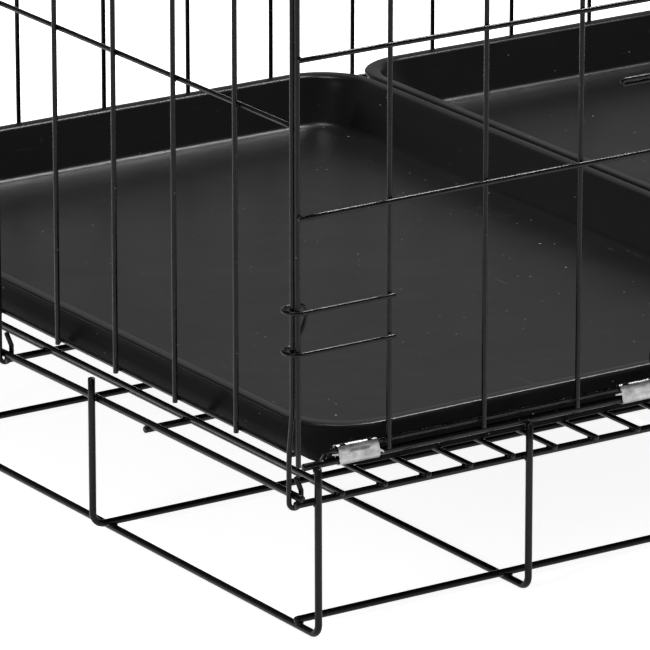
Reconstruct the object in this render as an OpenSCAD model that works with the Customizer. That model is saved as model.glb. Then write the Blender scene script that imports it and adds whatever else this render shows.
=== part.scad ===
// Raised folding wire dog crate: welded wire walls on a leg base, with two lift-out trays.
// The origin is on the ground under the middle of the crate. +X runs along the front, +Y to the back, +Z up.

/* [Size] */
// Distance between the two side rails of the base
base_l = 915; // [880:1:950]
// Distance between the front and back floor wires
base_w = 646; // [620:1:670]
// Height of the floor wires above the ground
floor_z = 83; // [75:1:95]
// Height of the top wires above the floor wires
wall_h = 630; // [612:1:650]

/* [Wire] */
// Diameter of the wall, door and roof wires
mesh_d = 3.1; // [2.8:0.1:3.4]
// Diameter of the leg, rail and rod wires
frame_d = 4.4; // [4.2:0.1:4.6]
// Diameter of the floor bars
bar_d = 3.4; // [3:0.1:3.8]
// Diameter of the corner hook wire
hook_d = 2.6; // [2.2:0.1:2.8]
// Diameter of the bolt wire
bolt_d = 2.6; // [2.2:0.1:2.8]

/* [Floor] */
// Number of bars across the floor
bar_count = 30; // [25:1:33]
// Distance of the first bar from the side rail
bar_inset = 25.8; // [22:0.2:30]
// How far the bar ends stand out past the front and back floor wires
bar_tip = 7.5; // [5:0.5:9]

/* [Legs] */
// Distance of the outer cross leg from the side rail
leg_inset = 10; // [8:0.5:12]
// Distance between the two cross legs of a pair
leg_pitch = 147.2; // [130:0.2:160]
// Distance of a long leg from the front or back floor wire
long_leg_inset = 219; // [205:1:240]
// Distance of the ground rod from the front or back floor wire
rod_inset = 16; // [12:1:24]
// Bend radius of the legs, to the middle of the wire
leg_bend = 9; // [7:1:14]

/* [Walls] */
// Distance from the corner wire to the next wire of a long wall
edge_gap = 62; // [58:1:66]
// Height of the hinge rails above the floor wires
rail_up = 21.7; // [20:0.1:23]
// Height of the long walls' bottom wires above the floor wires
sill_up = 28.6; // [28:0.1:30]
// Height of the first full wire of the long walls above the floor wires
first_up = 172; // [165:1:180]
// Distance between the full wires of the long walls
rise = 92; // [88:1:94]
// Height of the end walls' bottom wires above the floor wires
end_up = 29.5; // [28:0.5:31]
// Distance between the wires along an end wall
end_rise = 193.5; // [185:0.5:196]

/* [Doorway] */
// Gap between the door's edge wires and the doorway's wires
door_gap = 6.6; // [6.4:0.1:8]
// Height of the doorway's top wire above the floor wires
header_up = 586; // [570:1:590]

/* [Trays] */
// Height of a tray's rim above the floor wires
rim_up = 39.5; // [36:0.5:43]
// How far a tray's base lies inside its rim
tray_draft = 22; // [18:1:26]
// Wall thickness of a tray
tray_t = 2.2; // [1.8:0.2:3]
// Corner radius of a tray's rim
tray_r = 40; // [30:1:50]
// Gap between the two trays
tray_gap = 2; // [1.6:0.2:4]

/* [Clips] */
// Length of a hinge clip
clip_l = 29.6; // [26:0.2:32]
// Sheet thickness of a hinge clip
clip_t = 0.7; // [0.5:0.1:1]

/* [Hidden] */
$fn = 48;

black = [0.07, 0.07, 0.075];
tray_black = [0.12, 0.12, 0.125];
zinc = [0.72, 0.73, 0.74];

// The parts that stand out furthest at the front and back set the middle of the crate.
y_mid = 1.4;
weld = 0.3;              // how deep two welded wires sink into each other
half_l = base_l / 2;
half_w = base_w / 2;
rail_z = floor_z + frame_d - 0.5;
bar_z = floor_z + (frame_d + bar_d) / 2 - 0.4;
bar_pitch = (base_l - 2 * bar_inset) / (bar_count - 1);
hinge_z = floor_z + rail_up;
sill_z = floor_z + sill_up;
top_z = floor_z + wall_h;
foot_z = frame_d / 2;                        // middle of the wires that stand on the ground
stack_z = foot_z + frame_d - 0.2;            // middle of the wires that lie on those
upright = half_w + frame_d - 0.2;            // cross legs, from the middle of the crate
long_upright = half_l + frame_d - 0.2;       // long legs, from the middle of the crate
leg_top = floor_z + 21;
long_leg_top = floor_z + 16.5;

// Long walls: upright wires outside the sill wire, and full wires outside the uprights.
wall_x = 460;                                // corner wires of the long walls
pitch = (2 * wall_x - 2 * edge_gap) / 12;
wall_out = 2.8;                              // middle of the uprights, outside the sill wire
full_out = 2 * wall_out;                     // middle of the full wires
nub_z = floor_z + 23.5;                      // lower ends of the uprights
bars_x = [-wall_x, for (i = [0:12]) -wall_x + edge_gap + i * pitch, wall_x];
back_shift = 11.8;                           // the back wall's uprights sit off centre
back_x = [-wall_x, for (i = [1:13]) bars_x[i] + back_shift, wall_x];
full_z = [for (i = [0:4]) floor_z + first_up + i * rise];
header_z = floor_z + header_up;
door_x = [bars_x[5], bars_x[11]];            // the doorway's two uprights
sill_end = 434.5;                            // where the bottom wire's ends begin to bend
sill_bend = 4.2;
sill_tail = 5;
sill_tilt = 35;                              // the bent ends lean inwards, past the rail

// End walls: uprights outside, three of them bent into loops around the side rail.
end_out = 4.1;                               // middle of the uprights, outside the rail
end_x = half_l + end_out;
end_pitch = 65.75;
end_corner = half_w - 4.5;
mid_shift = 2.6;                             // the middle upright and floor wire pass side by side
end_y = [-end_corner, for (i = [-4:4]) i * end_pitch + (i == 0 ? mid_shift : 0), end_corner];
loop_y = [end_y[0], end_y[5], end_y[10]];
end_z = [for (i = [0:3]) floor_z + end_up + i * end_rise];
lean_z = [floor_z + 27, floor_z + 60];       // a corner upright leans outwards between these heights
lean = 3.8;
loop_top = floor_z + 20;                     // where an upright's loop begins
loop_low = floor_z + 0.7;                    // centre of a loop's bend
return_top = floor_z + 15.5;                 // end of a loop's free leg

// Corner hooks
hook_z = [floor_z + 91.5, floor_z + 500];    // lower arm of each hook
hook_rise = 24.5;
hook_r = 7.5;
hook_x = wall_x - 1.5;                       // centre of the curl round the corner
hook_back = 9.5;                             // free legs, inside the long wall
hook_leg = 6.8;                              // length of the free legs
hook_drop = 4.7;                             // width of the bow that joins them

// Hinge clips
clip_r = frame_d / 2 + 0.1;
clip_front = [-418.4, -219.3, -33.2, 33.2, 219.3, 418.4];
clip_back = [-418.4, -219.3, -33.2, 45, 243, 369];

// Door, bolt and latch eye
door_edge = [door_x[0] + door_gap, door_x[1] - door_gap];
door_bars = [door_edge[0], for (i = [6:10]) bars_x[i], door_edge[1]];
door_z = [floor_z + 38, for (i = [0:4]) floor_z + 150 + i * rise, floor_z + 576];
ring_z = [floor_z + 95, floor_z + 300, floor_z + 480];
ring_d = 3;
ring_r = (mesh_d + ring_d) / 2 + 0.05;
tail_x = [-24, -1.15];                       // a hinge ring's tail, from the doorway's upright
tail_out = ring_r - 0.35;
bolt_z = floor_z + 217;
bolt_out = 6.2;
bolt_x = [-238.6, door_x[0] + 4];
bolt_half = bolt_d / 2 + 0.1;
handle_x = -181;
handle_r = 7;
handle_drop = 12;
eye_x = -205;
eye_z = floor_z + 46.4;
eye_r = 10.3;
eye_d = bolt_d + 0.1;                        // the ring's wire
guide_d = 2.2;
guide_out = 9;
guide_half = 4.6;
guide_at = [[bars_x[4], bolt_z], [bars_x[5], bolt_z], [bars_x[5], eye_z]];

// Trays
tray_z = floor_z + 5.4;
rim_z = floor_z + rim_up;
tray_side = half_l - 15;                     // outer rim edge of a tray
tray_depth = half_w - 0.5;                   // front and back rim edges
lip_w = 8;                                   // flat top of the rim
lip_h = 2.6;                                 // height of its outer edge

// A straight wire between two values along one axis
module wire_x(from, to, y, z, d) translate([from, y, z]) rotate([0, 90, 0]) cylinder(d = d, h = to - from);
module wire_y(from, to, x, z, d) translate([x, from, z]) rotate([-90, 0, 0]) cylinder(d = d, h = to - from);
module wire_z(from, to, x, y, d) translate([x, y, from]) cylinder(d = d, h = to - from);

// Part of a ring of wire in the XZ plane about the origin, from one angle and over a span
module arc_xz(r, d, start, span)
    rotate([90, 0, 0]) rotate([0, 0, start]) rotate_extrude(angle = span) translate([r, 0]) circle(d = d);

// The same in the XY plane
module arc_xy(r, d, start, span)
    rotate([0, 0, start]) rotate_extrude(angle = span) translate([r, 0]) circle(d = d);

// Everything is placed from the middle of the floor, then moved so that the origin is central.
module place() translate([0, y_mid, 0]) children();
module front_back() for (side = [0, 1]) mirror([0, side, 0]) children();
module left_right() for (side = [0, 1]) mirror([side, 0, 0]) children();

// Base

module floor_bars() color(black) place()
    for (i = [0:bar_count - 1])
        wire_y(-half_w - bar_tip, half_w + bar_tip, -half_l + bar_inset + i * bar_pitch, bar_z, bar_d);

module floor_cross_wires() color(black) place()
    for (i = [-2:2])
        wire_x(-half_l - 3, half_l + 3, i * base_w / 4 - (i == 0 ? mid_shift : 0), floor_z, frame_d);

module side_rail(side) color(black) place()
    wire_y(-half_w - 3, half_w + 3, side * half_l, rail_z, frame_d);
module left_side_rail() side_rail(-1);
module right_side_rail() side_rail(1);

module hinge_rail(side) color(black) place()
    wire_x(-half_l + 2.5, half_l - 2.5, side * half_w, hinge_z, frame_d);
module front_hinge_rail() hinge_rail(-1);
module back_hinge_rail() hinge_rail(1);

// A U of wire in the XZ plane, open at the top
module u_wire(half, top, low, d, r) {
    left_right() {
        wire_z(low + r, top, half, 0, d);
        translate([half - r, 0, low + r]) arc_xz(r, d, 270, 90);
    }
    wire_x(-half + r, half - r, 0, low, d);
}

module cross_legs() color(black) place()
    left_right() for (x = [half_l - leg_inset, half_l - leg_inset - leg_pitch])
        translate([x, 0, 0]) rotate([0, 0, 90]) u_wire(upright, leg_top, foot_z, frame_d, leg_bend);

module long_legs() color(black) place()
    front_back() translate([0, half_w - long_leg_inset, 0])
        u_wire(long_upright, long_leg_top, stack_z, frame_d, leg_bend);

module ground_rod(side) color(black) place()
    wire_x(-half_l + leg_inset - 3, half_l - leg_inset + 3, side * (half_w - rod_inset), stack_z, frame_d);
module front_ground_rod() ground_rod(-1);
module back_ground_rod() ground_rod(1);

// Long walls. The front one is two bays, a header and a sill around the doorway.

// Upright wires of a long wall, from the list of positions
module uprights(list, from, to) for (x = list) wire_z(from, to, x, -half_w - wall_out, mesh_d);
// Full wires of a long wall
module full_wires(list, from, to) for (z = list) wire_x(from, to, -half_w - full_out, z, mesh_d);
// Top wire of a long wall, inside the uprights
module top_wire() wire_x(-wall_x - 1.5, wall_x + 1.5, -half_w, top_z, mesh_d);
// Bottom wire of a long wall. Its ends are bent down behind the hinge rail.
module sill_wire() {
    wire_x(-sill_end, sill_end, -half_w, sill_z, mesh_d);
    left_right() translate([sill_end, -half_w, sill_z]) rotate([sill_tilt, 0, 0]) {
        translate([0, 0, -sill_bend]) arc_xz(sill_bend, mesh_d, 0, 90);
        wire_z(-sill_bend - sill_tail, -sill_bend, sill_bend, 0, mesh_d);
    }
}

module front_sill_wire() color(black) place() sill_wire();

module front_left_bay() color(black) place() {
    uprights([for (i = [0:5]) bars_x[i]], nub_z, header_z - full_out);
    full_wires(full_z, -wall_x - 1.5, door_x[0] + 1.5);
}

module front_right_bay() color(black) place() {
    uprights([for (i = [11:14]) bars_x[i]], nub_z, header_z - full_out);
    full_wires(full_z, door_x[1] - 1.5, wall_x + 1.5);
}

module front_header() color(black) place() {
    uprights([for (i = [0:5]) bars_x[i], for (i = [11:14]) bars_x[i]], header_z - full_out, top_z + 3);
    uprights([for (i = [6:10]) bars_x[i]], header_z - 3, top_z + 3);
    full_wires([header_z], -wall_x - 1.5, wall_x + 1.5);
    top_wire();
}

module back_wall() color(black) place() mirror([0, 1, 0]) {
    uprights(back_x, nub_z, top_z + 3);
    full_wires([for (z = full_z) z, header_z], -wall_x - 1.5, wall_x + 1.5);
    sill_wire();
    top_wire();
}

// End walls

// A corner upright: straight, leaning, then straight again beside the long wall's corner wire
module corner_upright() {
    slope = atan2(lean, lean_z[1] - lean_z[0]);
    wire_z(loop_top, lean_z[0], 0, -end_corner, mesh_d);
    translate([0, -end_corner, lean_z[0]]) {
        sphere(d = mesh_d);
        rotate([slope, 0, 0]) cylinder(d = mesh_d, h = norm([lean, lean_z[1] - lean_z[0]]));
        translate([0, -lean, lean_z[1] - lean_z[0]]) sphere(d = mesh_d);
    }
    wire_z(lean_z[1], end_z[3] + 2.5, 0, -end_corner - lean, mesh_d);
}

module end_wall(side) color(black) place() {
    translate([side * end_x, 0, 0]) front_back() corner_upright();
    for (i = [1:9]) wire_z(i == 5 ? loop_top : floor_z + end_up - 2.5, end_z[3] + 2.5, side * end_x, end_y[i], mesh_d);
    for (i = [0:3]) {
        reach = end_corner + 1.5 + (i > 0 ? lean : 0);
        wire_y(-reach, reach, side * (end_x - wall_out), end_z[i], mesh_d);
    }
}
module left_end_wall() end_wall(-1);
module right_end_wall() end_wall(1);

// The lower end of an upright, bent into a loop that hangs round the side rail
module end_loops(side) color(black) place()
    for (y = loop_y) translate([side * half_l, y, 0]) {
        wire_z(loop_low, loop_top, side * end_out, 0, mesh_d);
        translate([0, 0, loop_low]) arc_xz(end_out, mesh_d, 180, 180);
        wire_z(loop_low, return_top, -side * end_out, 0, mesh_d);
    }
module left_end_loops() end_loops(-1);
module right_end_loops() end_loops(1);

// Roof

roof_z = top_z + sill_up - rail_up;
roof_bar_z = roof_z + mesh_d - weld;

module roof_grille() color(black) place() {
    for (x = bars_x) wire_y(-half_w - 3, half_w + 3, x * (half_l - 2) / wall_x, roof_bar_z, mesh_d);
    for (i = [-3:3]) wire_x(-half_l, half_l, i * base_w / 6, roof_z, mesh_d);
}

// Hinge clips: sheet sleeves round a rail and the wall wire beside it

// Outline of two wires side by side, one above the other
module pair_outline(r, gap) {
    circle(r = r);
    translate([gap, 0]) circle(r = r);
    translate([0, -r]) square([gap, 2 * r]);
}

// A sleeve along X from the lower wire's axis, split open along its inner side
module hinge_clip() {
    gap = sill_up - rail_up;
    rotate([90, 0, 90]) rotate([0, 0, 90]) translate([0, 0, -clip_l / 2]) linear_extrude(clip_l) difference() {
        pair_outline(clip_r + clip_t, gap);
        pair_outline(clip_r, gap);
        translate([gap / 2 - 0.8, -clip_r - clip_t - 1]) square([1.6, clip_t + 1.2]);
    }
}

module clip_row(back, z) color(zinc) place()
    mirror([0, back, 0]) for (x = back ? clip_back : clip_front) translate([x, -half_w, z]) hinge_clip();
module front_base_clips() clip_row(0, hinge_z);
module back_base_clips() clip_row(1, hinge_z);
module front_roof_clips() clip_row(0, top_z);
module back_roof_clips() clip_row(1, top_z);

// Corner hooks: one wire that curls round the end wall's corner upright

module corner_hook() {
    for (z = [0, hook_rise]) translate([hook_x, -half_w, z]) {
        wire_x(-(hook_x - bars_x[13] + 2.5), 0, -hook_r + 2, 0, hook_d);
        translate([0, 2, 0]) arc_xy(hook_r, hook_d, 270, 180);
        wire_x(-hook_leg, 0, hook_r + 2, 0, hook_d);
    }
    translate([hook_x - hook_leg, -half_w + hook_back, 0]) {
        translate([0, 0, hook_drop]) arc_xz(hook_drop, hook_d, 180, 90);
        translate([0, 0, hook_rise - hook_drop]) arc_xz(hook_drop, hook_d, 90, 90);
        wire_z(hook_drop, hook_rise - hook_drop, -hook_drop, 0, hook_d);
    }
}
module hooks(side, back) color(black) place()
    mirror([0, back, 0]) mirror([side, 0, 0]) for (z = hook_z) translate([0, 0, z]) corner_hook();
module front_left_hooks() hooks(1, 0);
module front_right_hooks() hooks(0, 0);
module back_left_hooks() hooks(1, 1);
module back_right_hooks() hooks(0, 1);

// Door

module front_door() color(black) place() {
    uprights(door_bars, door_z[0] - 3, door_z[6] + 3);
    full_wires(door_z, door_edge[0] - 1.5, door_edge[1] + 1.5);
}

// Wire rings round the doorway's upright, each with a tail welded to the door's edge wire
module door_hinge_rings() color(black) place()
    for (z = ring_z) translate([door_x[1], -half_w - wall_out, z]) {
        arc_xy(ring_r, ring_d, 238, 272);
        wire_x(tail_x[0], tail_x[1], -tail_out, 0, ring_d);
    }

// Two straight wires side by side, the body of a bolt
module bolt_wires(from, to) for (z = [-bolt_half, bolt_half]) wire_x(from, to, 0, z, bolt_d);

// Wire doubled back on itself, with a hanging finger bow
module upper_bolt() color(black) place() translate([0, -half_w - bolt_out, bolt_z]) {
    bolt_wires(bolt_x[0] + bolt_half, bolt_x[1]);
    translate([bolt_x[0] + bolt_half, 0, 0]) arc_xz(bolt_half, bolt_d, 90, 180);
    translate([handle_x, -1, -bolt_half]) {
        for (x = [-handle_r, handle_r]) wire_z(-handle_drop, 0, x, 0, bolt_d);
        translate([0, 0, -handle_drop]) arc_xz(handle_r, bolt_d, 180, 180);
    }
}

// Two turns of wire as a finger ring, then two straight wires
module lower_bolt() color(black) place() translate([0, -half_w - bolt_out, eye_z]) {
    bolt_wires(eye_x + eye_r, bolt_x[1]);
    for (turn = [0, 1]) translate([eye_x, -turn * (eye_d + 0.05), 0])
        rotate([90, 0, 0]) rotate_extrude($fn = 40) translate([eye_r, 0]) circle(d = eye_d);
}

// Staples that hold the bolts against two uprights
module bolt_guides() color(black) place()
    for (at = guide_at) translate([at[0], -half_w, at[1]]) {
        for (side = [-1, 1]) {
            wire_y(-guide_out + 2, -wall_out - mesh_d / 2 + weld, 0, side * guide_half, guide_d);
            translate([0, -guide_out + 2, side * (guide_half - 2)])
                rotate([0, 0, 90]) arc_xz(2, guide_d, side > 0 ? 90 : 180, 90);
        }
        wire_z(2 - guide_half, guide_half - 2, 0, -guide_out, guide_d);
    }

// Trays

// A slab with round corners, from the outer sizes of a tray drawn in by a distance
module tray_slab(inset, z, h) {
    w = tray_side - tray_gap / 2;
    r = tray_r - inset;
    translate([tray_gap / 2 + inset, -tray_depth + inset, z]) linear_extrude(h) {
        translate([r, 0]) square([w - 2 * inset - 2 * r, 2 * (tray_depth - inset)]);
        translate([0, r]) square([w - 2 * inset, 2 * (tray_depth - inset) - 2 * r]);
        for (x = [r, w - 2 * inset - r], y = [r, 2 * (tray_depth - inset) - r])
            translate([x, y]) circle(r = r);
    }
}

module tray(side) color(tray_black) place() mirror([side, 0, 0]) difference() {
    union() {
        hull() {
            tray_slab(tray_draft, tray_z, 0.5);
            tray_slab(lip_w - tray_t, rim_z - 0.5, 0.5);
        }
        tray_slab(0, rim_z - lip_h, lip_h);
    }
    hull() {
        tray_slab(tray_draft + tray_t, tray_z + tray_t, 0.5);
        tray_slab(lip_w, rim_z, 1);
    }
}
module left_tray() tray(1);
module right_tray() tray(0);

floor_bars();
floor_cross_wires();
left_side_rail();
right_side_rail();
front_hinge_rail();
back_hinge_rail();
cross_legs();
long_legs();
front_ground_rod();
back_ground_rod();
front_sill_wire();
front_left_bay();
front_right_bay();
front_header();
back_wall();
left_end_wall();
right_end_wall();
left_end_loops();
right_end_loops();
roof_grille();
front_base_clips();
back_base_clips();
front_roof_clips();
back_roof_clips();
front_left_hooks();
front_right_hooks();
back_left_hooks();
back_right_hooks();
front_door();
door_hinge_rings();
upper_bolt();
lower_bolt();
bolt_guides();
left_tray();
right_tray();
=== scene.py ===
"""The looks of a raised wire dog crate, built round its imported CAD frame.

Lengths are in millimetres until a mesh is made. Every wire is one swept tube, at the place of its CAD node.
"""
import math
import random

import bpy
import numpy as np
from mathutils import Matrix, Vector

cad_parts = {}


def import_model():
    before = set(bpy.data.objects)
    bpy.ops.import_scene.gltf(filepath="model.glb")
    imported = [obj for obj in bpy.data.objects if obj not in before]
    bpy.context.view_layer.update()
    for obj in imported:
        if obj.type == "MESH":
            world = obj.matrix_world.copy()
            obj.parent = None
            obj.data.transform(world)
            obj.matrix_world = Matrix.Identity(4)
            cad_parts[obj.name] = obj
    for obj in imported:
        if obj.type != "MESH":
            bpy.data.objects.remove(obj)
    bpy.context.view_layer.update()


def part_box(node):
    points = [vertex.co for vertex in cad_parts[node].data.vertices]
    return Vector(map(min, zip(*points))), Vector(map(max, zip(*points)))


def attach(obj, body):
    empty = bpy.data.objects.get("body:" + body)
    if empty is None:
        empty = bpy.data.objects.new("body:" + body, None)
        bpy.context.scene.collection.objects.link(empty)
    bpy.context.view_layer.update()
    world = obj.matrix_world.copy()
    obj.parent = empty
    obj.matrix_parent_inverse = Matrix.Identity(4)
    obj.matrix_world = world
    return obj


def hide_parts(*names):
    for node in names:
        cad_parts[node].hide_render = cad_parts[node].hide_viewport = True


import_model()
MM = 0.001


def low(node):
    return np.array(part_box(node)[0]) / MM


def high(node):
    return np.array(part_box(node)[1]) / MM


def middle(node):
    return (low(node) + high(node)) / 2


# ---------------------------------------------------------------- sizes, from the CAD nodes
X, Y, Z = 0, 1, 2
MESH_D = 3.1
FRAME_D = high("front_hinge_rail")[Z] - low("front_hinge_rail")[Z]
BAR_D = high("floor_bars")[Z] - low("floor_bars")[Z]
HOOK_D = 2.6
BOLT_D = 2.6
WELD = 0.3

HALF_L = middle("right_side_rail")[X]
Y_MID = (middle("front_hinge_rail")[Y] + middle("back_hinge_rail")[Y]) / 2
HALF_W = middle("back_hinge_rail")[Y] - Y_MID
FLOOR_Z = middle("floor_cross_wires")[Z]
BAR_Z = middle("floor_bars")[Z]
RAIL_Z = middle("left_side_rail")[Z]
HINGE_Z = middle("front_hinge_rail")[Z]
SILL_Z = high("front_sill_wire")[Z] - MESH_D / 2
WALL_X = high("front_header")[X] - MESH_D / 2
TOP_Z = high("front_header")[Z] - 3
ROOF_Z = low("roof_grille")[Z] + MESH_D / 2

BAR_COUNT = 30
BAR_TIP = 7.5
FOOT_Z = FRAME_D / 2
STACK_Z = FOOT_Z + FRAME_D - 0.2
LEG_TOP = high("cross_legs")[Z]
LONG_LEG_TOP = high("long_legs")[Z]
LEG_PAIR = 147.2
LEG_X = [high("cross_legs")[X] - FRAME_D / 2, high("cross_legs")[X] - FRAME_D / 2 - LEG_PAIR]
UPRIGHT_Y = (high("cross_legs")[Y] - low("cross_legs")[Y]) / 2 - FRAME_D / 2
LONG_LEG_Y = (high("long_legs")[Y] - low("long_legs")[Y]) / 2 - FRAME_D / 2
LONG_UPRIGHT_X = high("long_legs")[X] - FRAME_D / 2

EDGE_GAP = 62
PITCH = (2 * WALL_X - 2 * EDGE_GAP) / 12
BACK_SHIFT = 11.8
LINE_PITCH = 92
WALL_OUT = 2.8
FULL_OUT = 2 * WALL_OUT
BARS_X = [-WALL_X] + [-WALL_X + EDGE_GAP + i * PITCH for i in range(13)] + [WALL_X]
BACK_X = BARS_X[:1] + [x + BACK_SHIFT for x in BARS_X[1:-1]] + BARS_X[-1:]
NUB_Z = low("front_left_bay")[Z]
FULL_Z = [FLOOR_Z + 172 + i * LINE_PITCH for i in range(5)]
HEADER_Z = FLOOR_Z + 586
DOORWAY = (BARS_X[5], BARS_X[11])

END_OUT = 4.1
END_X = HALF_L + END_OUT
END_CORNER = HALF_W - 4.5
END_PITCH = 65.75
MID_SHIFT = 2.6
END_Y = [-END_CORNER] + [i * END_PITCH + (MID_SHIFT if i == 0 else 0) for i in range(-4, 5)] + [END_CORNER]
END_Z = [FLOOR_Z + 29.5 + i * 193.5 for i in range(4)]
LEAN = 3.8
STUB = 1.5

HOOK_Z = (FLOOR_Z + 91.5, FLOOR_Z + 500)
UPPER_BOLT_Z = FLOOR_Z + 217
LOWER_BOLT_Z = FLOOR_Z + 46.4
CLIP_L = 29.6
FRONT_CLIPS = (-418.4, -219.3, -33.2, 33.2, 219.3, 418.4)
BACK_CLIPS = (-418.4, -219.3, -33.2, 45, 243, 369)

RIM_Z = high("left_tray")[Z]
TRAY_Z = low("left_tray")[Z]
TRAY_SIDE = high("right_tray")[X]
TRAY_GAP = low("right_tray")[X] * 2
TRAY_DEPTH = (high("right_tray")[Y] - low("right_tray")[Y]) / 2


# ---------------------------------------------------------------- mesh helpers
def unit(v):
    return v / max(np.linalg.norm(v), 1e-12)


def rounded(corners, radius, step=12):
    """The polyline through these corners with each inner corner turned into an arc."""
    corners = [np.array(c, float) for c in corners]
    out = [corners[0]]
    for before, at, after in zip(corners, corners[1:], corners[2:]):
        a, b = unit(before - at), unit(after - at)
        half = math.acos(max(-1.0, min(1.0, a @ b))) / 2
        room = min(np.linalg.norm(before - at), np.linalg.norm(after - at)) * 0.5
        reach = min(radius / math.tan(half), room)
        r = reach * math.tan(half)
        centre = at + unit(a + b) * r / math.sin(half)
        start, end = at + a * reach - centre, at + b * reach - centre
        turn = math.pi - 2 * half
        for i in range(step + 1):
            t = i / step
            spoke = start * math.sin((1 - t) * turn) + end * math.sin(t * turn)
            out.append(centre + spoke / math.sin(turn))
    out.append(corners[-1])
    return out


def spaced(points, step=16):
    """The same line with points no further apart than step."""
    out = [np.array(points[0], float)]
    for a, b in zip(points, points[1:]):
        a, b = np.array(a, float), np.array(b, float)
        n = max(1, int(math.ceil(np.linalg.norm(b - a) / step)))
        out += [a + (b - a) * i / n for i in range(1, n + 1)]
    return out


def arc(centre, radius, u, v, start, end, step=14):
    """Points on a circle from angle start to end, in degrees, in the plane of u and v."""
    c, u, v = (np.array(p, float) for p in (centre, u, v))
    angles = [math.radians(start + (end - start) * i / step) for i in range(step + 1)]
    return [c + radius * (math.cos(a) * u + math.sin(a) * v) for a in angles]


def smooth(points, rounds=2):
    """The line with its corners cut, so that it bends gently."""
    points = [np.array(p, float) for p in points]
    for _ in range(rounds):
        out = [points[0]]
        for a, b in zip(points, points[1:]):
            cut = min(0.25, 3 / max(np.linalg.norm(b - a), 1e-9))
            out += [a + (b - a) * cut, b - (b - a) * cut]
        points = out + [points[-1]]
    return points


class Piece:
    """Collects the wires and sheets of one visible piece, then makes its mesh."""

    def __init__(self, seed):
        self.verts, self.faces = [], []
        self.rng = random.Random(seed)

    def add(self, verts, faces):
        base = len(self.verts)
        self.verts += [tuple(v) for v in verts]
        self.faces += [tuple(base + i for i in f) for f in faces]

    def wire(self, points, d, ends="cut", sway=None, sides=14, bulb=1.0):
        """A round wire along points. sway is a vector: the wire bows by up to that much between its ends."""
        p = np.array(spaced(points), float)
        if sway is not None:
            run = np.linalg.norm(np.diff(p, axis=0), axis=1)
            t = np.concatenate([[0], np.cumsum(run)]) / run.sum()
            bow = sum(self.rng.uniform(-1, 1) / k * np.sin(math.pi * k * t) for k in (1, 2, 3))
            p = p + np.outer(bow * 0.55, np.array(sway, float))
        tangent = np.gradient(p, axis=0)
        tangent = np.array([unit(v) for v in tangent])
        tangent[0], tangent[-1] = unit(p[1] - p[0]), unit(p[-1] - p[-2])
        side = unit(np.cross(tangent[0], [0.31, 0.27, 0.91]))
        rings = []
        r = d / 2
        around = [2 * math.pi * i / sides for i in range(sides)]
        for centre, along in zip(p, tangent):
            side = unit(side - along * (side @ along))
            rings.append((centre, along, side))
        cut = ((0.0, 0.86), (0.14 * r, 1.0))
        dome = ((0.0, 0.3), (0.12 * r, 0.62), (0.42 * r, 0.9 * bulb), (0.95 * r, bulb), (2.2 * r, 1.0))
        shape = {"cut": cut, "round": dome}[ends]
        full = []
        first, last = rings[0], rings[-1]
        for depth, scale in shape:
            full.append((first[0] + first[1] * depth, first[1], first[2], scale))
        full += [(c, a, s, 1.0) for c, a, s in rings[1:-1]]
        for depth, scale in reversed(shape):
            full.append((last[0] - last[1] * depth, last[1], last[2], scale))
        verts, faces = [], []
        for centre, along, s, scale in full:
            other = np.cross(along, s)
            verts += [centre + r * scale * (math.cos(a) * s + math.sin(a) * other) for a in around]
        for i in range(len(full) - 1):
            for j in range(sides):
                k = (j + 1) % sides
                faces.append((i * sides + j, i * sides + k, (i + 1) * sides + k, (i + 1) * sides + j))
        faces.append(tuple(range(sides))[::-1])
        faces.append(tuple((len(full) - 1) * sides + j for j in range(sides)))
        self.add(verts, faces)

    def weld(self, at, size=(1.9, 1.2, 1.9)):
        """The squeezed-out metal where two wires are welded: a small uneven lump."""
        grow = self.rng.uniform(0.85, 1.15)
        rows, cols = 5, 8
        at = np.array(at, float)
        verts = [at + (0, 0, size[2] * grow)]
        for i in range(1, rows):
            polar = math.pi * i / rows
            for j in range(cols):
                a = 2 * math.pi * j / cols
                push = grow * self.rng.uniform(0.93, 1.07)
                verts.append(at + push * np.array(size) * (math.sin(polar) * math.cos(a),
                                                          math.sin(polar) * math.sin(a), math.cos(polar)))
        verts.append(at - (0, 0, size[2] * grow))
        faces = [(0, 1 + j, 1 + (j + 1) % cols) for j in range(cols)]
        for i in range(rows - 2):
            for j in range(cols):
                a, b = 1 + i * cols + j, 1 + i * cols + (j + 1) % cols
                faces.append((a, a + cols, b + cols, b))
        end = len(verts) - 1
        faces += [(end, end - cols + (j + 1) % cols, end - cols + j) for j in range(cols)]
        self.add(verts, faces)

    def make(self, name, body, nodes, material, angle=48):
        """The finished object, which rides on a body and stands for CAD nodes."""
        mesh = bpy.data.meshes.new(name)
        mesh.from_pydata([tuple(c * MM for c in v) for v in self.verts], [], self.faces)
        mesh.validate()
        mesh.update()
        mesh.shade_smooth()
        mesh.set_sharp_from_angle(angle=math.radians(angle))
        mesh.materials.append(material)
        obj = bpy.data.objects.new(name, mesh)
        bpy.context.scene.collection.objects.link(obj)
        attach(obj, body)
        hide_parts(*nodes)
        return obj


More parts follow.
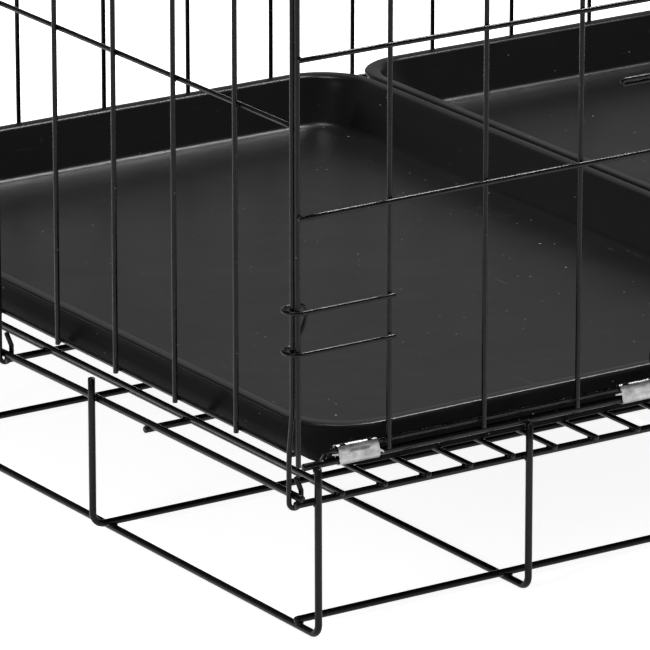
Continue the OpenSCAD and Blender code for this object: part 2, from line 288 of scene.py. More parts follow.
# ---------------------------------------------------------------- materials
class Nodes:
    """Short calls for building one node material."""

    def __init__(self, name):
        self.material = bpy.data.materials.new(name)
        self.material.use_nodes = True
        self.tree = self.material.node_tree
        self.shader = self.tree.nodes["Principled BSDF"]

    def new(self, kind, inputs=None, **settings):
        node = self.tree.nodes.new(kind)
        for key, value in settings.items():
            setattr(node, key, value)
        for key, value in (inputs or {}).items():
            if isinstance(value, bpy.types.NodeSocket):
                self.tree.links.new(value, node.inputs[key])
            else:
                node.inputs[key].default_value = value
        return node

    def link(self, source, target):
        self.tree.links.new(source, target)

    def place(self, scale=(1, 1, 1)):
        at = self.new("ShaderNodeTexCoord").outputs["Object"]
        return self.new("ShaderNodeMapping", {"Vector": at, "Scale": scale}).outputs["Vector"]

    def noise(self, place, scale, detail=3.0, roughness=0.5):
        inputs = {"Vector": place, "Scale": scale, "Detail": detail, "Roughness": roughness}
        return self.new("ShaderNodeTexNoise", inputs).outputs["Fac"]

    def ramp(self, value, stops):
        node = self.new("ShaderNodeValToRGB", {"Fac": value})
        ramp = node.color_ramp
        while len(ramp.elements) < len(stops):
            ramp.elements.new(0.5)
        for element, (at, level) in zip(ramp.elements, stops):
            element.position = at
            element.color = (level, level, level, 1)
        return node.outputs["Color"]

    def math(self, operation, a, b=0.0):
        node = self.new("ShaderNodeMath", operation=operation)
        for socket, value in zip(node.inputs, (a, b)):
            if isinstance(value, bpy.types.NodeSocket):
                self.link(value, socket)
            else:
                socket.default_value = value
        return node.outputs[0]

    def mix(self, factor, a, b):
        node = self.new("ShaderNodeMix", data_type="RGBA")
        for socket, value in zip((node.inputs["Factor"], node.inputs["A"], node.inputs["B"]), (factor, a, b)):
            if isinstance(value, bpy.types.NodeSocket):
                self.link(value, socket)
            else:
                socket.default_value = value
        return node.outputs["Result"]

    def specks(self, place, scale, size, share):
        """Small round specks at random places: 1 on a speck, 0 elsewhere."""
        cell = self.new("ShaderNodeTexVoronoi", {"Vector": place, "Scale": scale})
        near = self.math("LESS_THAN", cell.outputs["Distance"], size)
        draw = self.new("ShaderNodeSeparateColor", {"Color": cell.outputs["Color"]}).outputs[0]
        chosen = self.math("LESS_THAN", draw, share)
        return self.math("MULTIPLY", near, chosen)

    def bump(self, *layers):
        """Bump from (height, strength, distance in metres) layers."""
        normal = None
        for height, strength, distance in layers:
            inputs = {"Height": height, "Strength": strength, "Distance": distance}
            if normal is not None:
                inputs["Normal"] = normal
            normal = self.new("ShaderNodeBump", inputs).outputs["Normal"]
        self.link(normal, self.shader.inputs["Normal"])

    def set(self, **values):
        for key, value in values.items():
            socket = self.shader.inputs[key.replace("_", " ")]
            if isinstance(value, bpy.types.NodeSocket):
                self.link(value, socket)
            else:
                socket.default_value = value


def grey(level, warm=0.0):
    return (level * (1 + warm), level, level * (1 - warm), 1)


def coated_wire():
    """Black powder coat: glossy orange peel, small grains, worn and dusty in places; the pale specks are
    partly dust and bare coat and partly painted glints.
    """
    n = Nodes("black_powder_coat")
    place = n.place()
    patches = n.ramp(n.noise(place, 55, 4, 0.6), ((0.35, 0.0), (0.72, 1.0)))
    # Grey specks in the base colour: partly dust, partly painted glints of the bumpy coat.
    dust_and_glint_grains = n.specks(place, 900, 0.16, 0.10)
    bare_and_glint_specks = n.specks(place, 340, 0.11, 0.05)
    colour = n.mix(patches, grey(0.0022), grey(0.0050, 0.03))
    colour = n.mix(n.math("MULTIPLY", dust_and_glint_grains, 0.5), colour, grey(0.10))
    # Pale specks in the base colour: partly bare coat, partly painted highlight specks.
    colour = n.mix(n.math("MULTIPLY", bare_and_glint_specks, 0.55), colour, grey(0.30))
    gloss = n.ramp(n.noise(place, 210, 3, 0.55), ((0.3, 0.14), (0.75, 0.34)))
    peel = n.noise(place, 620, 2, 0.5)
    lumps = n.noise(place, 95, 2, 0.5)
    n.set(Base_Color=colour, Roughness=gloss)
    n.shader.inputs["Specular IOR Level"].default_value = 0.14
    n.bump((lumps, 0.35, 0.0009), (peel, 0.5, 0.00022), (dust_and_glint_grains, 0.6, 0.0002))
    return n.material


def galvanised():
    """Bright zinc-coated sheet, rolled along its length, with handling marks."""
    n = Nodes("galvanised_sheet")
    place = n.place()
    along = n.place((0.12, 1, 1))
    rolled = n.noise(along, 900, 3, 0.6)
    clouds = n.noise(place, 120, 3, 0.6)
    colour = n.mix(n.ramp(clouds, ((0.3, 0.0), (0.7, 1.0))), grey(0.19), grey(0.38))
    stains = n.specks(place, 420, 0.2, 0.08)
    colour = n.mix(n.math("MULTIPLY", stains, 0.6), colour, grey(0.16))
    rough = n.ramp(rolled, ((0.25, 0.26), (0.8, 0.5)))
    n.set(Base_Color=colour, Roughness=rough)
    n.shader.inputs["Metallic"].default_value = 0.92
    n.bump((rolled, 0.35, 0.0002), (clouds, 0.3, 0.0008))
    return n.material


def tray_plastic():
    """Satin black moulded plastic: faint grain and flow, fine scratches, dust and a few nicks."""
    n = Nodes("moulded_tray_plastic")
    place = n.place()
    flow = n.noise(place, 7, 3, 0.55)
    grain = n.noise(place, 1300, 2, 0.5)
    scratch_place = n.place((0.05, 1, 1))
    scratches = n.ramp(n.noise(scratch_place, 260, 4, 0.75), ((0.66, 0.0), (0.72, 1.0)))
    cross = n.ramp(n.noise(n.place((1, 0.045, 1)), 230, 4, 0.75), ((0.67, 0.0), (0.73, 1.0)))
    marks = n.math("MAXIMUM", scratches, cross)
    dust = n.specks(place, 170, 0.085, 0.16)
    nicks = n.specks(place, 60, 0.04, 0.14)
    wobble = n.noise(place, 26, 2, 0.5)
    haze = n.ramp(n.noise(place, 22, 4, 0.6), ((0.3, 0.0), (0.75, 1.0)))
    colour = n.mix(haze, grey(0.0042), grey(0.0062, 0.02))
    colour = n.mix(n.math("MULTIPLY", marks, 0.3), colour, grey(0.07))
    colour = n.mix(n.math("MULTIPLY", dust, 0.5), colour, grey(0.36))
    colour = n.mix(n.math("MULTIPLY", nicks, 0.6), colour, grey(0.5))
    rough = n.ramp(flow, ((0.3, 0.27), (0.7, 0.36)))
    rough = n.mix(n.math("MULTIPLY", marks, 0.6), rough, grey(0.55))
    normal = n.new("ShaderNodeNewGeometry").outputs["Normal"]
    facing = n.new("ShaderNodeSeparateXYZ", {"Vector": normal}).outputs["Z"]
    inside = n.ramp(facing, ((0.0, 0.002), (0.3, 0.22)))
    n.set(Base_Color=colour, Roughness=rough, Specular_IOR_Level=inside)
    n.bump((flow, 0.3, 0.004), (wobble, 0.25, 0.0012), (grain, 0.25, 0.00018), (marks, 0.3, 0.00012))
    return n.material


WIRE, SHEET, TRAY = coated_wire(), galvanised(), tray_plastic()


# ---------------------------------------------------------------- base
def at(x, y, z):
    """A point given from the middle of the floor plan."""
    return (x, y + Y_MID, z)


def floor_bars():
    p = Piece(11)
    first, last = low("floor_bars")[X] + BAR_D / 2, high("floor_bars")[X] - BAR_D / 2
    for i in range(BAR_COUNT):
        x = first + (last - first) * i / (BAR_COUNT - 1)
        tips = [HALF_W + BAR_TIP - p.rng.uniform(0, 1.2) for _ in (0, 1)]
        p.wire([at(x, -tips[0], BAR_Z), at(x, tips[1], BAR_Z)], BAR_D, "round", (0.5, 0, 0), bulb=1.06)
        for y in cross_wire_y():
            p.weld(at(x, y, (BAR_Z + FLOOR_Z) / 2 + 0.3), (2.3, 2.3, 1.1))
    p.make("floor_bars_wire", "frame", ["floor_bars"], WIRE)


def cross_wire_y():
    return [i * HALF_W / 2 - (MID_SHIFT if i == 0 else 0) for i in range(-2, 3)]


def floor_cross_wires():
    p = Piece(12)
    for y in cross_wire_y():
        p.wire([at(-HALF_L - 3, y, FLOOR_Z), at(HALF_L + 3, y, FLOOR_Z)], FRAME_D, "cut", (0, 0.5, 0))
        for x in (-HALF_L, HALF_L):
            p.weld(at(x, y, (FLOOR_Z + RAIL_Z) / 2), (2.7, 2.7, 1.2))
    p.make("floor_cross_wires_wire", "frame", ["floor_cross_wires"], WIRE)


def side_rails():
    for side, name in ((-1, "left_side_rail"), (1, "right_side_rail")):
        p = Piece(13 + side)
        path = []
        for i in range(25):
            t = i / 24
            sag = math.sin(math.pi * t) ** 2 * (1 - 0.5 * math.sin(2 * math.pi * t))
            path.append(at(side * (HALF_L + 0.7 * sag), (2 * t - 1) * (HALF_W + 3), RAIL_Z - 1.6 * sag))
        p.wire(path, FRAME_D, "cut")
        p.make(name + "_wire", "frame", [name], WIRE)


def hinge_rails():
    for side, name in ((-1, "front_hinge_rail"), (1, "back_hinge_rail")):
        p = Piece(16 + side)
        p.wire([at(-HALF_L + 2.5, side * HALF_W, HINGE_Z), at(HALF_L - 2.5, side * HALF_W, HINGE_Z)], FRAME_D,
               "cut", (0, 0, 0.12))
        for x in (-LEG_X[0], -LEG_X[1], LEG_X[1], LEG_X[0]):
            p.weld(at(x, side * (HALF_W + FRAME_D / 2 - 0.1), HINGE_Z - 2), (2.6, 1.2, 2.6))
        p.make(name + "_wire", "frame", [name], WIRE)


def cross_legs():
    p = Piece(20)
    for x in (-LEG_X[0], -LEG_X[1], LEG_X[1], LEG_X[0]):
        corners = [at(x, -UPRIGHT_Y, LEG_TOP), at(x, -UPRIGHT_Y, FOOT_Z), at(x, UPRIGHT_Y, FOOT_Z),
                   at(x, UPRIGHT_Y, LEG_TOP)]
        p.wire(rounded(corners, 7), FRAME_D, "cut", (0.9, 0, 0))
        for side in (-1, 1):
            p.weld(at(x, side * (HALF_W + FRAME_D / 2), FLOOR_Z), (2.7, 1.3, 2.7))
            p.weld(at(x, side * (HALF_W - 16), (FOOT_Z + STACK_Z) / 2), (2.7, 2.7, 1.3))
            p.weld(at(x, side * LONG_LEG_Y, (FOOT_Z + STACK_Z) / 2), (2.7, 2.7, 1.3))
    p.make("cross_legs_wire", "frame", ["cross_legs"], WIRE)


def long_legs():
    p = Piece(21)
    for side in (-1, 1):
        y = side * LONG_LEG_Y
        corners = [at(-LONG_UPRIGHT_X, y, LONG_LEG_TOP), at(-LONG_UPRIGHT_X, y, STACK_Z),
                   at(LONG_UPRIGHT_X, y, STACK_Z), at(LONG_UPRIGHT_X, y, LONG_LEG_TOP)]
        p.wire(rounded(corners, 8), FRAME_D, "cut")
        for x in (-1, 1):
            p.weld(at(x * (HALF_L + FRAME_D / 2), y, RAIL_Z), (1.3, 2.7, 2.7))
    p.make("long_legs_wire", "frame", ["long_legs"], WIRE)


def ground_rods():
    for side, name in ((-1, "front_ground_rod"), (1, "back_ground_rod")):
        p = Piece(23 + side)
        lo, hi = low(name), high(name)
        y, z = middle(name)[Y], middle(name)[Z]
        p.wire([(lo[X], y, z), (hi[X], y, z)], FRAME_D, "round", (0, 0.6, 0))
        p.make(name + "_wire", "frame", [name], WIRE)


# ---------------------------------------------------------------- walls
def wall_uprights(p, list_x, from_z, to_z, side=-1, sway=0.7):
    y = side * (HALF_W + WALL_OUT)
    for x in list_x:
        p.wire([at(x, y, from_z), at(x, y, to_z)], MESH_D, "cut", (sway, 0, 0))


def wall_lines(p, list_z, from_x, to_x, side=-1, out=FULL_OUT):
    y = side * (HALF_W + out)
    for z in list_z:
        p.wire([at(from_x, y, z), at(to_x, y, z)], MESH_D, "cut", (0, 0, 0.5))


def wall_welds(p, list_x, list_z, side=-1, out=WALL_OUT * 1.5):
    for x in list_x:
        for z in list_z:
            p.weld(at(x, side * (HALF_W + out), z), (1.75, 0.8, 1.75))


def sill_wire(p, side):
    """A long wall's bottom wire. Its ends are bent down behind the hinge rail."""
    y, bend, tail, tilt = side * HALF_W, 4.2, 5, math.radians(35)
    end_x = 434.5
    down = np.array((0, -side * math.sin(tilt), -math.cos(tilt)))
    path = []
    for x in (-1, 1):
        top = np.array(at(x * end_x, y, SILL_Z))
        turn = arc(top + bend * down, bend, -down, (x, 0, 0), 0, 90, 8)
        turn.append(turn[-1] + tail * down)
        path += turn[::-1] if x < 0 else turn
    p.wire(path, MESH_D, "cut")


def front_wall():
    sill = Piece(30)
    sill_wire(sill, -1)
    sill.make("front_sill_wire_wire", "frame", ["front_sill_wire"], WIRE)
    bays = (("front_left_bay", BARS_X[0:6], -WALL_X - STUB, DOORWAY[0] + STUB, 31),
            ("front_right_bay", BARS_X[11:15], DOORWAY[1] - STUB, WALL_X + STUB, 32))
    for name, list_x, from_x, to_x, seed in bays:
        p = Piece(seed)
        wall_uprights(p, list_x, NUB_Z, HEADER_Z - FULL_OUT)
        wall_lines(p, FULL_Z, from_x, to_x)
        wall_welds(p, list_x, FULL_Z)
        wall_welds(p, [x for x in list_x if abs(x) < WALL_X], [SILL_Z], out=WALL_OUT / 2)
        p.make(name + "_wire", "frame", [name], WIRE)
    p = Piece(33)
    wall_uprights(p, BARS_X[0:6] + BARS_X[11:15], HEADER_Z - FULL_OUT, TOP_Z + 3, sway=0)
    wall_uprights(p, BARS_X[6:11], HEADER_Z - 3, TOP_Z + 3, sway=0)
    wall_lines(p, [HEADER_Z], -WALL_X - STUB, WALL_X + STUB)
    wall_lines(p, [TOP_Z], -WALL_X - STUB, WALL_X + STUB, out=0)
    wall_welds(p, BARS_X, [HEADER_Z])
    wall_welds(p, BARS_X, [TOP_Z], out=WALL_OUT / 2)
    p.make("front_header_wire", "frame", ["front_header"], WIRE)


def back_wall():
    p = Piece(34)
    wall_uprights(p, BACK_X, NUB_Z, TOP_Z + 3, side=1)
    wall_lines(p, FULL_Z + [HEADER_Z], -WALL_X - STUB, WALL_X + STUB, side=1)
    wall_lines(p, [TOP_Z], -WALL_X - STUB, WALL_X + STUB, side=1, out=0)
    sill_wire(p, 1)
    wall_welds(p, BACK_X, FULL_Z + [HEADER_Z], side=1)
    wall_welds(p, BACK_X[1:-1], [SILL_Z], side=1, out=WALL_OUT / 2)
    wall_welds(p, BACK_X, [TOP_Z], side=1, out=WALL_OUT / 2)
    p.make("back_wall_wire", "frame", ["back_wall"], WIRE)


def end_walls():
    loops = (END_Y[0], END_Y[5], END_Y[10])
    for side, name in ((-1, "left_end"), (1, "right_end")):
        p = Piece(41 + side)
        top = END_Z[3] + 2.5
        for y in END_Y:
            if y not in loops:
                path = [at(side * END_X, y, FLOOR_Z + 27), at(side * END_X, y, top)]
                p.wire(path, MESH_D, "cut", (0, 0.8, 0))
                continue
            low_z = FLOOR_Z + 0.7
            x_in = side * (HALF_L - END_OUT)
            over = math.copysign(LEAN, y) if abs(y) > END_PITCH else 0
            kink = ((0.9, FLOOR_Z + 54), (0.12, FLOOR_Z + 32))
            steps = ((1, top), (1, FLOOR_Z + 62), *kink, (0, FLOOR_Z + 24), (0, low_z))
            path = [at(side * END_X, y + over * share, z) for share, z in steps]
            path += arc(at(side * HALF_L, y, low_z), END_OUT, (side, 0, 0), (0, 0, -1), 0, 180)[1:]
            path += [at(x_in, y, FLOOR_Z + 6.5), at(x_in + side * 3.4, y, FLOOR_Z + 15)]
            p.wire(path, MESH_D, "cut")
        for z in END_Z:
            x = side * (END_X - WALL_OUT)
            over = LEAN if z > END_Z[0] else 0
            reach = END_CORNER + STUB + over
            p.wire([at(x, -reach, z), at(x, reach, z)], MESH_D, "cut", (0, 0, 0.6))
            for y in END_Y:
                shift = math.copysign(over, y) if abs(y) == END_CORNER else 0
                p.weld(at(side * (END_X - WALL_OUT / 2), y + shift, z), (0.8, 1.75, 1.75))
        p.make(name + "_wall_wire", name, [name + "_wall", name + "_loops"], WIRE)


def roof():
    p = Piece(45)
    bar_z = ROOF_Z + MESH_D - WELD
    list_x = [x * (HALF_L - 2) / WALL_X for x in BARS_X]
    list_y = [i * HALF_W / 3 for i in range(-3, 4)]
    for x in list_x:
        p.wire([at(x, -HALF_W - 3, bar_z), at(x, HALF_W + 3, bar_z)], MESH_D, "cut", (0.8, 0, 0))
    for y in list_y:
        p.wire([at(-HALF_L, y, ROOF_Z), at(HALF_L, y, ROOF_Z)], MESH_D, "cut", (0, 0.3, 0))
        for x in list_x:
            p.weld(at(x, y, (ROOF_Z + bar_z) / 2), (1.75, 1.75, 0.8))
    p.make("roof_grille_wire", "frame", ["roof_grille"], WIRE)


# ---------------------------------------------------------------- clips
def shell(p, grid, keep, thick, outward):
    """A sheet over a grid of points, with the cells that keep() refuses left out and every edge closed."""
    grid = np.array(grid, float)
    rows, cols = grid.shape[:2]
    normal = np.cross(np.gradient(grid, axis=0), np.gradient(grid, axis=1)) * outward
    normal /= np.maximum(np.linalg.norm(normal, axis=2, keepdims=True), 1e-9)
    outer = grid + normal * thick
    verts = list(grid.reshape(-1, 3)) + list(outer.reshape(-1, 3))
    shift = rows * cols
    kept = {(i, k) for i in range(rows - 1) for k in range(cols - 1) if keep(i / (rows - 1), k / (cols - 1))}
    faces = []
    for i, k in kept:
        corner = [(i, k), (i + 1, k), (i + 1, k + 1), (i, k + 1)]
        beside = [(i, k - 1), (i + 1, k), (i, k + 1), (i - 1, k)]
        index = [r * cols + c for r, c in corner]
        made = [[shift + v for v in index], index[::-1]]
        for e in range(4):
            if beside[e] not in kept:
                u, v = index[e], index[(e + 1) % 4]
                made.append([shift + v, shift + u, u, v])
        faces += made if outward > 0 else [f[::-1] for f in made]
    used = sorted({v for f in faces for v in f})
    place = {v: i for i, v in enumerate(used)}
    p.add([verts[v] for v in used], [[place[v] for v in f] for f in faces])


def clip_profile(gap):
    """The closed sleeve's outline in (out, up), from one free edge round both wires to the other."""
    r = FRAME_D / 2 + 0.9
    small = r - 0.4
    points = [(-1.6, gap / 2 - 0.7), (-r * 0.97, 0.5)]
    points += [(-r * math.cos(a), -r * math.sin(a)) for a in (0.35, 0.8, 1.25)]
    points += [(r * math.cos(a), r * math.sin(a)) for a in (-1.35, -0.9, -0.45, 0.0)]
    points += [(small + 0.25, gap * f) for f in (0.2, 0.32, 0.34, 0.5, 0.66, 0.68, 0.85)]
    points += [(small * math.cos(a), gap + small * math.sin(a)) for a in (0.0, 0.4, 0.8, 1.2, 1.57, 2.1, 2.7)]
    points += [(-small * 0.95, gap - 0.9), (-1.6, gap / 2 + 0.7)]
    return points


def hinge_clip(p, x, side, low_z, gap):
    """A crimped sheet sleeve round two wires: ragged ends, notches, a pressed panel and bent tabs."""
    outline = clip_profile(gap)
    steps, length = 26, CLIP_L - 2.0
    panel = p.rng.random() < 0.6
    crimps = [p.rng.uniform(0.1, 0.9) for _ in range(4)]
    ragged = [[p.rng.uniform(-0.45, 0.45) for _ in outline] for _ in (0, 1)]
    rows = []
    for i in range(steps + 1):
        t = i / steps
        press = sum(math.exp(-((t - c) / 0.035) ** 2) for c in crimps)
        row = []
        for k, (out, up) in enumerate(outline):
            share = k / (len(outline) - 1)
            foot = math.exp(-((share - 0.27) / 0.05) ** 2)
            top = math.exp(-((share - 0.8) / 0.06) ** 2)
            grow = -0.35 * press * foot - 0.2 * press * top + 0.10 * math.sin(17 * t + 9 * share)
            if panel and 0.3 < t < 0.78 and 0.45 < share < 0.60:
                grow += 0.55
            swell = 1 + grow / 3
            along = (t - 0.5) * length - 1.1 * (up / gap - 0.5)
            along += ragged[0][k] * max(0, 1 - 14 * t) + ragged[1][k] * max(0, 1 - 14 * (1 - t))
            row.append(at(x + along, side * (HALF_W + out * swell), low_z + up + 0.15 * grow))
        rows.append(row)

    def keep(t, share):
        top_edge = 0.72 < share < 0.84
        return not (top_edge and (0.06 < t < 0.2 or 0.74 < t < 0.88))

    shell(p, rows, keep, 0.55, side)
    for end in (-1, 1):
        start = x + end * (length / 2 - 0.5)
        reach, drop, width = p.rng.uniform(3.0, 4.6), p.rng.uniform(0.2, 1.6), p.rng.uniform(1.4, 2.2)
        lift = p.rng.uniform(0.4, 0.8) * gap if end < 0 else p.rng.uniform(0.0, 0.35) * gap
        strip = []
        for i in range(6):
            t = i / 5
            curl = side * (HALF_W + FRAME_D / 2 + 0.6 - (2.2 * t * t if end < 0 else -0.3 * t))
            narrow = width * (1 - 0.45 * t)
            z = low_z + lift - drop * t * t
            strip.append([at(start + end * reach * t, curl, z + narrow * h) for h in (-0.5, 0.0, 0.5)])
        shell(p, strip, lambda t, share: True, 0.5, side * end)


def hinge_clips():
    gap = SILL_Z - HINGE_Z
    rows = (("front_base_clips", -1, HINGE_Z, 50), ("back_base_clips", 1, HINGE_Z, 51),
            ("front_roof_clips", -1, TOP_Z, 52), ("back_roof_clips", 1, TOP_Z, 53))
    for name, side, z, seed in rows:
        p = Piece(seed)
        for x in FRONT_CLIPS if side < 0 else BACK_CLIPS:
            hinge_clip(p, x, side, z, gap)
        p.make(name + "_sheet", "frame", [name], SHEET, 35)


# ---------------------------------------------------------------- corner hooks
def corner_hooks():
    rise, r, hook_x, leg, drop = 24.5, 7.5, WALL_X - 1.5, 6.8, 4.7
    for side_y, word_y in ((-1, "front"), (1, "back")):
        for side_x, word_x in ((-1, "left"), (1, "right")):
            name = f"{word_y}_{word_x}_hooks"
            p = Piece(60 + side_x + 3 * side_y)
            for base in HOOK_Z:
                def spot(x, y, z):
                    return at(side_x * x, side_y * y, base + z)
                start = BARS_X[13] - 2.5
                front, back = HALF_W + r - 2, HALF_W - r - 2
                path = [spot(start, front, 0), spot(hook_x, front, 0)]
                path += arc(spot(hook_x, HALF_W - 2, 0), r, (0, side_y, 0), (side_x, 0, 0), 0, 180)[1:]
                bow = ((2.6, 0), (5.2, 3.4), (9.3, 9.5), (leg + drop, 15.5), (leg + drop, 20),
                       (leg + 3.4, rise - 1.1), (leg, rise))
                path += [spot(hook_x - out, back, up) for out, up in bow]
                path += arc(spot(hook_x, HALF_W - 2, rise), r, (0, -side_y, 0), (side_x, 0, 0), 0, 180)[1:]
                path += [spot(start, front, rise)]
                p.wire(smooth(path), HOOK_D, "cut")
                for z in (0, rise):
                    for x in (BARS_X[13], BARS_X[14]):
                        p.weld(spot(x, HALF_W + 4.2, z), (1.5, 0.8, 1.5))
            p.make(name + "_wire", "frame", [name], WIRE)


# ---------------------------------------------------------------- door and bolts
def door():
    edge_lo, edge_hi = low("front_door"), high("front_door")
    left, right = edge_lo[X] + 1.5, edge_hi[X] - 1.5
    list_x = [left] + BARS_X[6:11] + [right]
    lines = [FLOOR_Z + 150 + i * LINE_PITCH for i in range(5)]
    list_z = [edge_lo[Z] + 3] + lines + [edge_hi[Z] - 3]
    p = Piece(70)
    wall_uprights(p, list_x, edge_lo[Z], edge_hi[Z], sway=0.3)
    wall_lines(p, list_z, edge_lo[X], edge_hi[X])
    wall_welds(p, list_x, list_z)
    p.make("front_door_wire", "door", ["front_door"], WIRE)
    rings = Piece(71)
    post_x, y, ring_r, ring_d, tail = DOORWAY[1], -(HALF_W + WALL_OUT), 3.45, 2.7, 24
    for z in (FLOOR_Z + 95, FLOOR_Z + 300, FLOOR_Z + 480):
        path = [at(post_x - tail, y - 2.6, z), at(post_x - 1, y - ring_r + 0.1, z)]
        path += arc(at(post_x, y, z), ring_r, (1, 0, 0), (0, 1, 0), -90, 150)
        rings.wire(path, ring_d, "cut")
    rings.make("door_hinge_rings_wire", "door", ["door_hinge_rings"], WIRE)


def bolts():
    y, half = -(HALF_W + 6.2), BOLT_D / 2 + 0.1
    z, tip = UPPER_BOLT_Z, high("upper_bolt")[X]
    tail = low("upper_bolt")[X] + half + BOLT_D / 2
    upper = Piece(72)
    path = [at(tip, y, z + half), at(tail, y, z + half)]
    path += arc(at(tail, y, z), half, (0, 0, 1), (-1, 0, 0), 0, 180)[1:]
    upper.wire(path + [at(tip, y, z - half)], BOLT_D, "round")
    bow_x, r, drop = -181, 7, 12
    bow = [at(bow_x - r, y - 1, z - half), at(bow_x - r, y - 1, z - half - drop)]
    bow += arc(at(bow_x, y - 1, z - half - drop), r, (-1, 0, 0), (0, 0, -1), 0, 180)[1:]
    upper.wire(bow + [at(bow_x + r, y - 1, z - half)], BOLT_D, "round")
    upper.make("upper_bolt_wire", "upper_bolt", ["upper_bolt"], WIRE)
    lower = Piece(73)
    z, eye, r = LOWER_BOLT_Z, -205, 10.3
    coil = []
    turns, steps = 2, 64
    for i in range(turns * steps + 1):
        a = 2 * math.pi * i / steps
        coil.append(np.array(at(eye + r * math.cos(a), y - 2.75 * i / (turns * steps), z + r * math.sin(a))))
    lower.wire([at(tip, y, z + half), at(eye + r + 2, y, z + half)] + coil[2:], BOLT_D, "round")
    lower.wire([at(tip, y, z - half), at(eye + r - 0.5, y, z - half)], BOLT_D, "round")
    lower.make("lower_bolt_wire", "lower_bolt", ["lower_bolt"], WIRE)
    guides = Piece(74)
    out, half, d = 9, 4.6, 2.2
    base = -(HALF_W + WALL_OUT + MESH_D / 2 - WELD)
    for x, z in ((BARS_X[4], UPPER_BOLT_Z), (BARS_X[5], UPPER_BOLT_Z), (BARS_X[5], LOWER_BOLT_Z)):
        corners = [at(x, base, z - half), at(x, -HALF_W - out, z - half), at(x, -HALF_W - out, z + half),
                   at(x, base, z + half)]
        guides.wire(rounded(corners, 2), d, "cut")
    guides.make("bolt_guides_wire", "frame", ["bolt_guides"], WIRE)


# ---------------------------------------------------------------- trays
def tray_outline(inset, radius, per_corner=14, per_side=24):
    """Points round one tray, from its outer size drawn in by inset, with round corners."""
    x0, x1 = TRAY_GAP / 2 + inset, TRAY_SIDE - inset
    y0, y1 = -TRAY_DEPTH + inset, TRAY_DEPTH - inset
    r = max(radius, 1)
    corners = ((x1 - r, y0 + r, -90), (x1 - r, y1 - r, 0), (x0 + r, y1 - r, 90), (x0 + r, y0 + r, 180))
    points = []
    for i, (cx, cy, start) in enumerate(corners):
        for k in range(per_corner + 1):
            a = math.radians(start + 90 * k / per_corner)
            points.append((cx + r * math.cos(a), cy + r * math.sin(a)))
        nx, ny, nstart = corners[(i + 1) % 4]
        a = math.radians(nstart)
        end = (nx + r * math.cos(a), ny + r * math.sin(a))
        begin = points[-1]
        for k in range(1, per_side):
            t = k / per_side
            points.append((begin[0] + (end[0] - begin[0]) * t, begin[1] + (end[1] - begin[1]) * t))
    return points


def tray_section():
    """(inset, height) round a tray's wall: up the outside, over the lip, down the inside to the floor."""
    h = RIM_Z - TRAY_Z
    section = [(34, 0.2), (27, 0.0), (24, 0.4), (22.2, 1.6)]
    section += [(22.2 - 13 * t, 1.6 + (h - 6) * t) for t in (0.33, 0.66, 1.0)]
    section += [(7.4, h - 3.4), (1.6, h - 3.0), (0.5, h - 2.6), (0, h - 1.6), (0.2, h - 0.7), (1.0, h - 0.1)]
    section += [(2.4, h), (7.2, h - 0.1), (8.8, h - 0.7), (9.9, h - 2.2), (10.4, h - 4.0)]
    section += [(10.4 + 12 * t, h - 4 - (h - 10) * t) for t in (0.33, 0.66, 1.0)]
    section += [(23.4, 4.4), (25.6, 3.0), (28.6, 2.3), (33, 2.2)]
    return section


def tray(side, name, seed):
    p = Piece(seed)
    corner_r = 40
    rings = []
    for inset, up in tray_section():
        ring = []
        for i, (x, y) in enumerate(tray_outline(inset, max(corner_r - inset * 0.55, 8))):
            wave = 0.35 * math.sin(i * 0.41 + seed) * math.sin(i * 0.13) if up > 20 else 0.0
            ring.append(at(side * x, y, TRAY_Z + up + 0.3 * wave))
        rings.append(ring)
    count = len(rings[0])
    faces = []
    for i in range(len(rings) - 1):
        for j in range(count):
            k = (j + 1) % count
            quad = (i * count + j, i * count + k, (i + 1) * count + k, (i + 1) * count + j)
            faces.append(quad[::-1] if side < 0 else quad)
    verts = [v for ring in rings for v in ring]
    p.add(verts, faces)
    floor_sheet(p, rings[-1], side, up_facing=True)
    floor_sheet(p, rings[0], side, up_facing=False)
    p.make(name + "_shell", name, [name], TRAY, 60)


def floor_sheet(p, ring, side, up_facing):
    """Closes a ring with shrinking copies of it and one middle face, nearly flat with slow waves."""
    pts = np.array(ring)
    centre = pts.mean(axis=0)
    layers, count = 10, len(ring)
    verts, faces = [tuple(v) for v in pts], []
    for i in range(1, layers):
        t = i / layers
        for v in pts:
            q = v + (centre - v) * t
            wave = 0.25 * math.sin(q[0] * 0.021) * math.cos(q[1] * 0.017) * min(1.0, 4 * t)
            verts.append((q[0], q[1], q[2] + (wave if up_facing else 0.0)))
    for i in range(layers - 1):
        for j in range(count):
            k = (j + 1) % count
            quad = (i * count + j, i * count + k, (i + 1) * count + k, (i + 1) * count + j)
            faces.append(quad if (side > 0) == up_facing else quad[::-1])
    last = (layers - 1) * count
    cap = tuple(last + j for j in range(count))
    faces.append(cap if (side > 0) == up_facing else cap[::-1])
    p.add(verts, faces)


# ---------------------------------------------------------------- everything
floor_bars()
floor_cross_wires()
side_rails()
hinge_rails()
cross_legs()
long_legs()
ground_rods()
front_wall()
back_wall()
end_walls()
roof()
hinge_clips()
corner_hooks()
door()
bolts()
tray(-1, "left_tray", 81)
tray(1, "right_tray", 82)


# ---------------------------------------------------------------- floor, light and camera
FLOOR_GLOW = 0.9


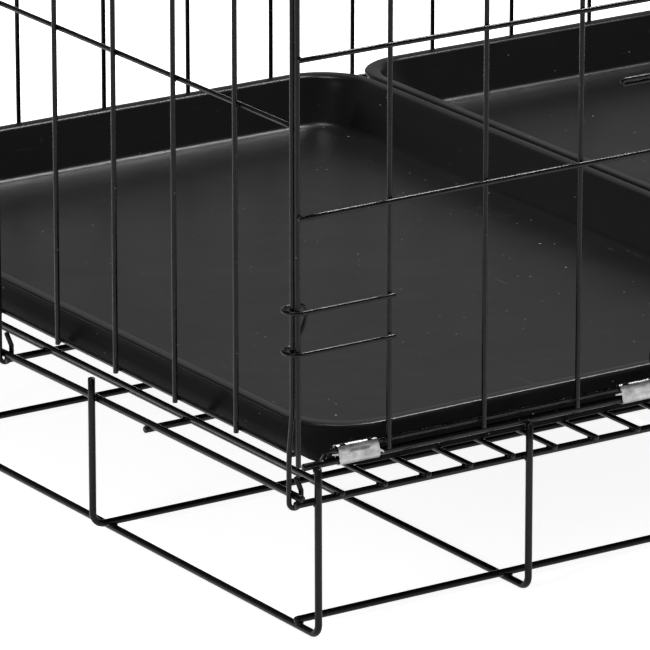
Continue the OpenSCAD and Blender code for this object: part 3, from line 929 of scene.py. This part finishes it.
def stage_floor():
    """A white floor that glows a little, like a light table, so that shadows under the crate stay faint."""
    bpy.ops.mesh.primitive_plane_add(size=60, location=(0, 0, 0))
    floor = bpy.context.object
    floor.name = "stage_floor"
    material = bpy.data.materials.new("pale_floor")
    material.use_nodes = True
    shader = material.node_tree.nodes["Principled BSDF"]
    shader.inputs["Base Color"].default_value = (0.9, 0.9, 0.9, 1)
    shader.inputs["Roughness"].default_value = 1.0
    shader.inputs["Specular IOR Level"].default_value = 0.0
    shader.inputs["Emission Color"].default_value = (1, 1, 1, 1)
    shader.inputs["Emission Strength"].default_value = FLOOR_GLOW
    floor.data.materials.append(material)


def area_light(name, location, target, size, power):
    data = bpy.data.lights.new(name, "AREA")
    data.shape = "RECTANGLE"
    data.size, data.size_y = size
    data.energy = power
    light = bpy.data.objects.new(name, data)
    light.location = location
    light.rotation_euler = (Vector(target) - Vector(location)).to_track_quat("-Z", "Y").to_euler()
    bpy.context.scene.collection.objects.link(light)


def world(horizon, zenith):
    """A studio that is grey low down and darker overhead."""
    made = bpy.data.worlds.new("studio")
    made.use_nodes = True
    tree = made.node_tree
    place = tree.nodes.new("ShaderNodeTexCoord")
    split = tree.nodes.new("ShaderNodeSeparateXYZ")
    ramp = tree.nodes.new("ShaderNodeValToRGB")
    tree.links.new(place.outputs["Generated"], split.inputs[0])
    tree.links.new(split.outputs["Z"], ramp.inputs["Fac"])
    for element, (height, level) in zip(ramp.color_ramp.elements, ((0.34, horizon), (0.62, zenith))):
        element.position = height
        element.color = (level, level, level, 1)
    tree.links.new(ramp.outputs["Color"], tree.nodes["Background"].inputs["Color"])
    bpy.context.scene.world = made


def camera():
    data = bpy.data.cameras.new("camera")
    data.lens = 367.0
    data.clip_end = 200
    cam = bpy.data.objects.new("camera", data)
    location = Vector((-2411.9, -3300.1, 1336.4)) * MM
    target = Vector((-427.35, -302.48, 180.01)) * MM
    cam.location = location
    cam.rotation_euler = (target - location).to_track_quat("-Z", "Y").to_euler()
    bpy.context.scene.collection.objects.link(cam)
    bpy.context.scene.camera = cam


stage_floor()
world(0.33, 0.09)
area_light("key", (1.4, 0.5, 2.9), (-0.3, -0.3, 0.1), (0.9, 0.5), 100)
area_light("overhead", (-0.6, 0.2, 3.6), (0, 0, 0), (1.2, 0.9), 60)
area_light("front_left", (-3.4, -1.2, 1.6), (-0.3, 0, 0.2), (0.4, 1.0), 12)
camera()
bpy.context.scene.view_settings.view_transform = "Standard"
